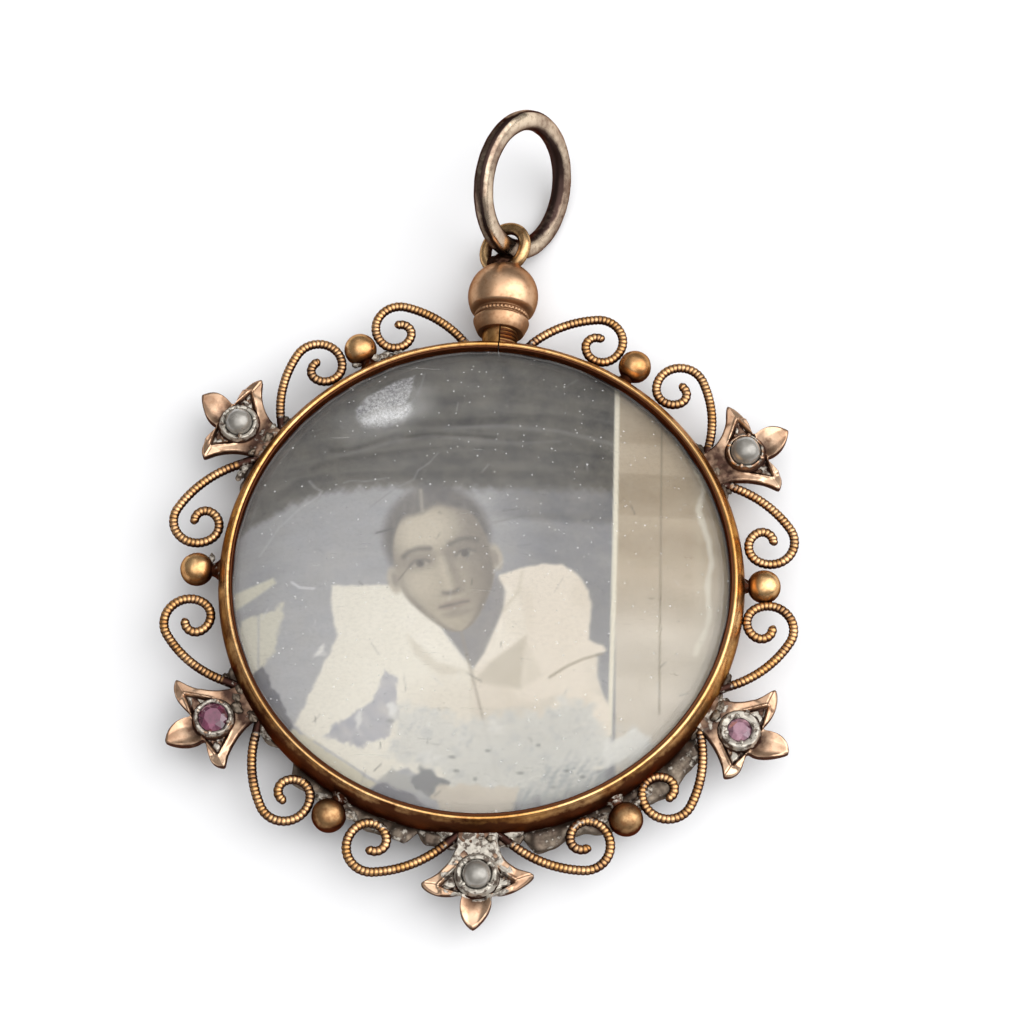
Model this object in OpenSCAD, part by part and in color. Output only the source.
/* [Rim] */
// Radius of the bright front lip
lip_r = 14.6; // [14:0.1:15.5]
// How far the bombe wall bulges out between its two lips
wall_bulge = 0.6; // [0.4:0.05:0.7]
// Depth of the rim from the front lip to the back lip
rim_depth = 2.9; // [2.7:0.1:3.3]
// Thickness of the lip that holds each glass in
lip_t = 0.6; // [0.5:0.05:0.7]
// How far each lip reaches in over its glass
lip_reach = 0.3; // [0.25:0.05:0.4]
// Width of the saw cut where the rim is split under its cap
split_w = 0.08; // [0.05:0.01:0.15]
// Height of the rim's middle above the surface the locket lies on
mid_z = 2.6; // [2.55:0.05:3]

/* [Glasses and prints] */
// How high the middle of the front glass stands above its edge
dome_rise = 2.1; // [2:0.05:2.3]
// Thickness of each glass
glass_t = 0.5; // [0.45:0.05:0.6]
// Thickness of a mounted print
print_t = 0.15; // [0.1:0.05:0.2]
// Gap that pieces which are only laid or set together keep
fit_gap = 0.04; // [0.02:0.01:0.06]

/* [Screw post and cap] */
// Radius of the post that the rim's two ends make together
post_r = 1.06; // [1:0.02:1.1]
// Distance from the centre of the rim to the end of the post
post_end = 18.1; // [17.8:0.1:18.4]
// Rise of the thread for one turn
thread_pitch = 0.25; // [0.2:0.05:0.3]
// Depth of the thread
thread_d = 0.11; // [0.08:0.01:0.14]
// Distance from the centre of the rim to the mouth of the cap
cap_mouth = 15.9; // [15.85:0.05:16]
// Radius of the ball that is the body of the cap
cap_ball_r = 2.12; // [2:0.02:2.2]
// Distance from the centre of the rim to the centre of that ball
cap_ball_y = 18.43; // [18.4:0.01:18.5]
// Distance from the centre of the rim to the centre of the eye on the cap
eye_y = 21.67; // [21.6:0.01:21.75]
// How far the eye is soldered off the cap's axis
eye_x = -0.1; // [-0.12:0.02:0]
// Radius of the eye at the middle of its wire
eye_r = 1.38; // [1.34:0.01:1.42]
// Radius of the eye's wire
eye_wire_r = 0.37; // [0.34:0.01:0.4]
// Turn of the eye about the cap's axis
eye_turn = -30; // [-35:1:-25]

/* [Bail ring] */
// Outer radius of the bail ring
bail_r = 4.45; // [4.42:0.01:4.5]
// Width of its flattened wire from its outer edge to its inner edge
bail_w = 1.05; // [1:0.05:1.15]
// Thickness of its flattened wire
bail_t = 0.9; // [0.8:0.05:0.9]
// Lean of the ring's axis away from the vertical
bail_lean = 61.5; // [61:0.5:62]
// Direction that the ring's axis leans to
bail_turn = -21.4; // [-22:0.1:-21]
// Offset of the ring's centre from the middle of the eye, across the locket
bail_x = 0.87; // [0.84:0.01:0.9]
// Offset of the ring's centre from the middle of the eye, along the locket
bail_y = 3.68; // [3.66:0.01:3.7]
// Offset of the ring's centre from the middle of the eye, upwards
bail_z = 1.49; // [1.48:0.01:1.52]

/* [Ornament] */
// Radius of the beaded wire of the scrolls
wire_r = 0.3; // [0.26:0.01:0.32]
// Radius of a ball on the rim
ball_r = 0.97; // [0.9:0.01:1.05]
// Radius of the peg under a ball
peg_r = 0.42; // [0.35:0.01:0.5]
// Thickness of a flower's plate
flower_t = 0.72; // [0.7:0.01:0.75]
// Radius of a pearl
pearl_r = 0.88; // [0.8:0.01:0.95]
// Radius of a red stone
red_r = 0.86; // [0.8:0.01:0.9]

/* [Hidden] */
$fn = 64;
half_depth = rim_depth / 2;
ridge_r = lip_r + wall_bulge;
wall_arc_r = (half_depth * half_depth + wall_bulge * wall_bulge) / (2 * wall_bulge);
lip_in_r = lip_r - lip_reach;
seat_r = lip_in_r + 0.25;
seat_half = half_depth - lip_t;

// Each glass is a piece of a spherical shell whose edge sits in the rim's groove
glass_r = seat_r - fit_gap;
dome_r = (glass_r * glass_r + dome_rise * dome_rise) / (2 * dome_rise);
glass_top = seat_half - fit_gap;
dome_edge_z = glass_top - 0.12;
glass_edge_z = glass_top - glass_t;
card_half = glass_edge_z - fit_gap;

// The cap's collar, and the milled groove between the collar and the ball
mouth_r = 1.28;
mouth_depth = 0.5;
collar_r = 1.72;
groove_r = 1.66;
groove_foot = 16.75;
groove_top = 17.35;
post_gap = 0.06;

// Radius of the two bowed faces of the bail ring's flattened wire
bail_face_r = 1.3;

// Where the balls stand: angle round the rim, distance from its centre
BALLS = [
    [60.2, 16.42], [2.4, 16.3], [-56.6, 16.43],
    [-117.3, 16.39], [-178.8, 16.49], [120, 16.55]
];

// The flowers: angle round the rim, distance of the stone from its centre, small turn about the stone
FLOWERS = [
    [30.8, 17.35, 2], [149.4, 17.39, -2], [-86.8, 17.6, 1], [-28.6, 17.26, 4], [-146.9, 17.31, -1]
];

// The scrolls, two to a ball: number of the ball, side of it (1 is anticlockwise),
// slip along the rim away from the ball, offset away from the rim, turn about its curl
SCROLLS = [
    [0, 1, -0.2, 0.04, -3.4], [0, -1, 0, 0.06, 0.4], [1, 1, -0.01, 0.03, 0.2],
    [1, -1, -0.9, -0.02, 0.9], [2, 1, -0.2, -0.22, 0.8], [2, -1, -0.25, -0.02, 2.4],
    [3, 1, 0.71, 0.08, 1.3], [3, -1, -0.25, 0.1, -0.6], [4, 1, 1.55, 0.1, 2],
    [4, -1, 0.85, 0.06, 5.7], [5, 1, -0.2, 0.06, 0.5], [5, -1, -0.2, 0.25, -7.6]
];

// One scroll is a chain of arcs from the end of its curl out to its foot: radius, sweep
SCROLL_ARCS = [[0.63, 137], [1, 120], [1.44, 154], [6.6, 38]];
curl_end = [2.59, 16.82];
curl_heading = 17;
curl_centre = [2.3, 16.6];
// A soldered joint swells a little past the wire, and the arcs end just inside it
joint_r = wire_r + 0.05;
foot_r = 0.42;
joint_gap = 0.04;
// Solder holds each scroll to the rim at its foot and beside its curl
foot_solder_r = 0.32;
curl_solder_r = 0.2;

// Half of a flower's outline from the middle of its foot to the tip of its middle petal,
// as distance to the side and distance from the centre of the rim for a stone at 17.4
FLOWER_HALF = [
    [1.15, 14.8], [1.18, 15.7], [1.36, 16.25], [1.78, 16.9], [2.4, 17.5], [3.02, 18],
    [2.65, 18.4], [2.1, 18.55], [1.5, 18.55], [0.84, 18.42], [0.83, 19], [0.66, 19.65],
    [0.36, 20.12], [0, 20.36]
];
flower_stone_y = 17.4;
flower_top = 0.36;
petal_cut = 0.16;
cup_wall = 0.25;
cup_h = 0.28;
stone_z = flower_top + 0.25;
grain_r = 0.17;

// The red stones' table, crown and pavilion
table_share = 0.58;
crown_h = 0.27;
pavilion_d = 0.5;

// The frame is one faceted solid: how many flats its round forms have
rim_steps = 60;
wall_steps = 16;
post_steps = 16;
wire_steps = 6;
bend_steps = 16;
ball_steps = 12;

// The point and heading that a chain of arcs reaches before its arc number n
function heading(n) = n == 0 ? curl_heading : heading(n - 1) - SCROLL_ARCS[n - 1][1];
function centre(n) = start(n) + SCROLL_ARCS[n][0] * [sin(heading(n)), -cos(heading(n))];
function start(n) =
    n == 0 ? curl_end
    : centre(n - 1) + SCROLL_ARCS[n - 1][0] * [-sin(heading(n)), cos(heading(n))];

// A point of scroll s once the scroll is set off the rim and turned about its curl
function set_point(s, point) = let (p = point - curl_centre) curl_centre
    + [cos(s[4]) * p[0] - sin(s[4]) * p[1], s[3] + sin(s[4]) * p[0] + cos(s[4]) * p[1]];

module at_mid() {
    translate([0, 0, mid_z]) children();
}

module round_rim(angle, radius) {
    rotate([0, 0, angle]) translate([radius, 0, 0]) children();
}

// Turns a profile drawn as radius and height so that its height runs along +Y
module along_y(steps) {
    rotate([-90, 0, 0]) rotate_extrude($fn = steps) children();
}

module rim() {
    rotate_extrude($fn = rim_steps) difference() {
        intersection() {
            translate([ridge_r - wall_arc_r, 0]) circle(r = wall_arc_r, $fn = wall_steps);
            translate([lip_in_r, -half_depth]) square([2, rim_depth]);
        }
        translate([lip_in_r - 1, -seat_half]) square([1 + seat_r - lip_in_r, 2 * seat_half]);
    }
}

// The rim's two ends each carry half of the post, and only the right half is cut with the thread
module post() {
    turns = floor((post_end - cap_mouth + 0.7) / thread_pitch);
    root = post_end - turns * thread_pitch;
    thread = [for (i = [0 : turns - 1]) each [
        [post_r - thread_d, root + i * thread_pitch],
        [post_r, root + (i + 0.5) * thread_pitch]
    ]];
    intersection() {
        along_y(post_steps) polygon(concat([[0, seat_r + 0.2], [post_r, seat_r + 0.2], [post_r, root - 0.02]],
            thread, [[post_r - thread_d, post_end], [0, post_end]]));
        translate([0, 0, -5]) cube([5, 30, 10]);
    }
    intersection() {
        along_y(post_steps) translate([0, seat_r + 0.2]) square([post_r, post_end - seat_r - 0.2]);
        translate([-5, 0, -5]) cube([5, 30, 10]);
    }
}

module scroll() {
    last = len(SCROLL_ARCS) - 1;
    for (i = [0 : last]) {
        r = SCROLL_ARCS[i][0];
        trim = joint_gap / r * 180 / PI;
        sweep = SCROLL_ARCS[i][1] - (i == last ? trim : 2 * trim);
        c = centre(i);
        p = start(i);
        translate([c[0], c[1], 0]) rotate([0, 0, heading(i) + 90 - trim - sweep])
            rotate_extrude(angle = sweep, $fn = bend_steps) translate([r, 0]) circle(r = wire_r, $fn = wire_steps);
        translate([p[0], p[1], 0]) sphere(r = joint_r, $fn = wire_steps);
    }
    foot = start(last + 1);
    translate([foot[0], foot[1], 0]) sphere(r = foot_r, $fn = wire_steps);
}

// Solder between the rim and a point of a scroll
module solder_peg(point, radius) {
    rotate([0, 0, atan2(point[1], point[0])]) translate([seat_r + 0.2, 0, 0])
        rotate([0, 90, 0]) cylinder(r = radius, h = norm(point) - seat_r - 0.2, $fn = wire_steps);
}

module scroll_in_place(n) {
    s = SCROLLS[n];
    ball = BALLS[s[0]];
    curl = set_point(s, centre(1));
    rotate([0, 0, ball[0] - 90 + s[1] * s[2]]) mirror([s[1] > 0 ? 1 : 0, 0, 0]) {
        translate([curl_centre[0], curl_centre[1] + s[3], 0]) rotate([0, 0, s[4]])
            translate([-curl_centre[0], -curl_centre[1], 0]) scroll();
        solder_peg(set_point(s, start(len(SCROLL_ARCS))), foot_solder_r);
        solder_peg(curl * (1 - SCROLL_ARCS[1][0] / norm(curl)), curl_solder_r);
    }
}

module ball(n) {
    b = BALLS[n];
    round_rim(b[0], b[1]) sphere(r = ball_r, $fn = ball_steps);
    round_rim(b[0], seat_r + 0.2) rotate([0, 90, 0]) cylinder(r = peg_r, h = b[1] - seat_r - 0.6, $fn = wire_steps);
}

// A pointed oval between two arcs, lying along +Y
module leaf(length, width) {
    r = (length * length + width * width) / (4 * width);
    intersection() {
        translate([r - width / 2, 0]) circle(r = r);
        translate([width / 2 - r, 0]) circle(r = r);
    }
}

module flower(stone_r) {
    $fn = ball_steps;
    // The flats of the stone's seat stay clear of the round stone
    seat = (stone_r + fit_gap) / pow(cos(180 / ball_steps), 2);
    left = [for (i = [len(FLOWER_HALF) - 2 : -1 : 0]) [-FLOWER_HALF[i][0], FLOWER_HALF[i][1]]];
    difference() {
        union() {
            translate([0, 0, flower_top - flower_t]) linear_extrude(flower_t)
                polygon(concat(FLOWER_HALF, left));
            translate([0, flower_stone_y, 0]) cylinder(r = stone_r + cup_wall, h = flower_top + cup_h);
        }
        translate([0, flower_stone_y, stone_z]) cylinder(r = seat, h = 2);
        translate([0, flower_stone_y, stone_z]) sphere(r = seat);
        translate([0, 19.25, flower_top - petal_cut]) linear_extrude(1) leaf(1.6, 0.9);
        for (side = [-1, 1])
            translate([side * 2.02, 17.98, flower_top - petal_cut]) rotate([0, 0, side * 100])
                linear_extrude(1) leaf(1.4, 0.55);
    }
    for (a = [35, 145, 215, 325])
        translate([(stone_r + cup_wall + 0.08) * cos(a), flower_stone_y + (stone_r + cup_wall + 0.08) * sin(a),
            flower_top]) sphere(r = grain_r, $fn = wire_steps);
}

module place_flower(n) {
    f = FLOWERS[n];
    rotate([0, 0, f[0] - 90]) translate([0, f[1] - flower_stone_y, 0])
        translate([0, flower_stone_y, 0]) rotate([0, 0, f[2]]) translate([0, -flower_stone_y, 0])
        children();
}

module frame() {
    color("goldenrod") at_mid() difference() {
        union() {
            rim();
            post();
            for (b = [0 : 5]) ball(b);
            for (s = [0 : 11]) scroll_in_place(s);
            for (f = [0 : 4]) place_flower(f) flower(f < 3 ? pearl_r : red_r);
        }
        translate([-split_w / 2, 12, -5]) cube([split_w, 10, 10]);
    }
}

module glass_shell() {
    intersection() {
        translate([0, 0, dome_edge_z + dome_rise - dome_r]) difference() {
            sphere(r = dome_r, $fn = 128);
            sphere(r = dome_r - glass_t, $fn = 128);
        }
        translate([0, 0, glass_edge_z]) cylinder(r = glass_r, h = 10, $fn = 128);
    }
}

module front_glass() {
    color("lightcyan", 0.4) at_mid() glass_shell();
}

// The back glass is the same dome, ground flat over its middle where it rests
module back_glass() {
    color("lightcyan", 0.4) difference() {
        at_mid() mirror([0, 0, 1]) glass_shell();
        translate([0, 0, -5]) cylinder(r = glass_r, h = 5);
    }
}

module front_print() {
    color("darkgray") at_mid() translate([0, 0, card_half - print_t])
        cylinder(r = glass_r, h = print_t, $fn = 128);
}

module backing_card() {
    color("tan") at_mid() translate([0, 0, -card_half])
        cylinder(r = glass_r, h = 2 * card_half - print_t - fit_gap, $fn = 128);
}

module cap_profile() {
    difference() {
        union() {
            intersection() {
                translate([0, cap_ball_y]) circle(r = cap_ball_r);
                translate([0, groove_top]) square([cap_ball_r + 1, 2 * cap_ball_r + 1]);
            }
            polygon([[0, cap_mouth], [mouth_r + 0.08, cap_mouth], [collar_r - 0.14, cap_mouth + 0.3],
                [collar_r, groove_foot - 0.22], [collar_r - 0.03, groove_foot], [groove_r, groove_foot + 0.08],
                [groove_r, groove_top - 0.02], [collar_r, groove_top + 0.02], [0, groove_top + 0.02]]);
        }
        translate([-1, cap_mouth - 1]) square([1 + mouth_r, 1 + mouth_depth]);
        translate([-1, cap_mouth]) square([1 + post_r + post_gap, post_end + post_gap - cap_mouth]);
    }
}

module screw_cap() {
    color("peru") at_mid() union() {
        along_y(64) cap_profile();
        translate([eye_x, eye_y, 0]) rotate([0, eye_turn, 0])
            rotate_extrude() translate([eye_r, 0]) circle(r = eye_wire_r);
    }
}

module bail_ring() {
    middle = bail_r - bail_w / 2;
    color("rosybrown") at_mid() translate([eye_x + bail_x, eye_y + bail_y, bail_z])
        rotate([0, bail_lean, bail_turn]) rotate_extrude($fn = 96) intersection() {
            translate([middle - bail_w / 2, -bail_t / 2]) square([bail_w, bail_t]);
            translate([middle, bail_t / 2 - bail_face_r]) circle(r = bail_face_r);
            translate([middle, bail_face_r - bail_t / 2]) circle(r = bail_face_r);
        }
}

module pearl(n) {
    color("silver") at_mid() place_flower(n) translate([0, flower_stone_y, stone_z]) sphere(r = pearl_r);
}

// A round stone with a flat table, a crown of 24 facets and a pavilion of 16 facets
module red_stone(n) {
    table = [for (i = [0 : 7]) [red_r * table_share * cos(45 * i), red_r * table_share * sin(45 * i), crown_h]];
    girdle = [for (i = [0 : 15]) [red_r * cos(22.5 * i), red_r * sin(22.5 * i), 0]];
    points = concat(table, girdle, [[0, 0, -pavilion_d]]);
    faces = concat(
        [[for (i = [7 : -1 : 0]) i]],
        [for (i = [0 : 7]) [i, (i + 1) % 8, 8 + 2 * i + 1]],
        [for (i = [0 : 7]) [i, 8 + 2 * i + 1, 8 + 2 * i]],
        [for (i = [0 : 7]) [i, 8 + 2 * i, 8 + (2 * i + 15) % 16]],
        [for (i = [0 : 15]) [8 + i, 8 + (i + 1) % 16, 24]]);
    color("mediumvioletred") at_mid() place_flower(n) translate([0, flower_stone_y, stone_z])
        polyhedron(points, faces);
}

frame();
front_glass();
front_print();
backing_card();
back_glass();
screw_cap();
bail_ring();
pearl(0);  // pearl_upper_right
pearl(1);  // pearl_upper_left
pearl(2);  // pearl_bottom
red_stone(3);  // red_stone_right
red_stone(4);  // red_stone_left
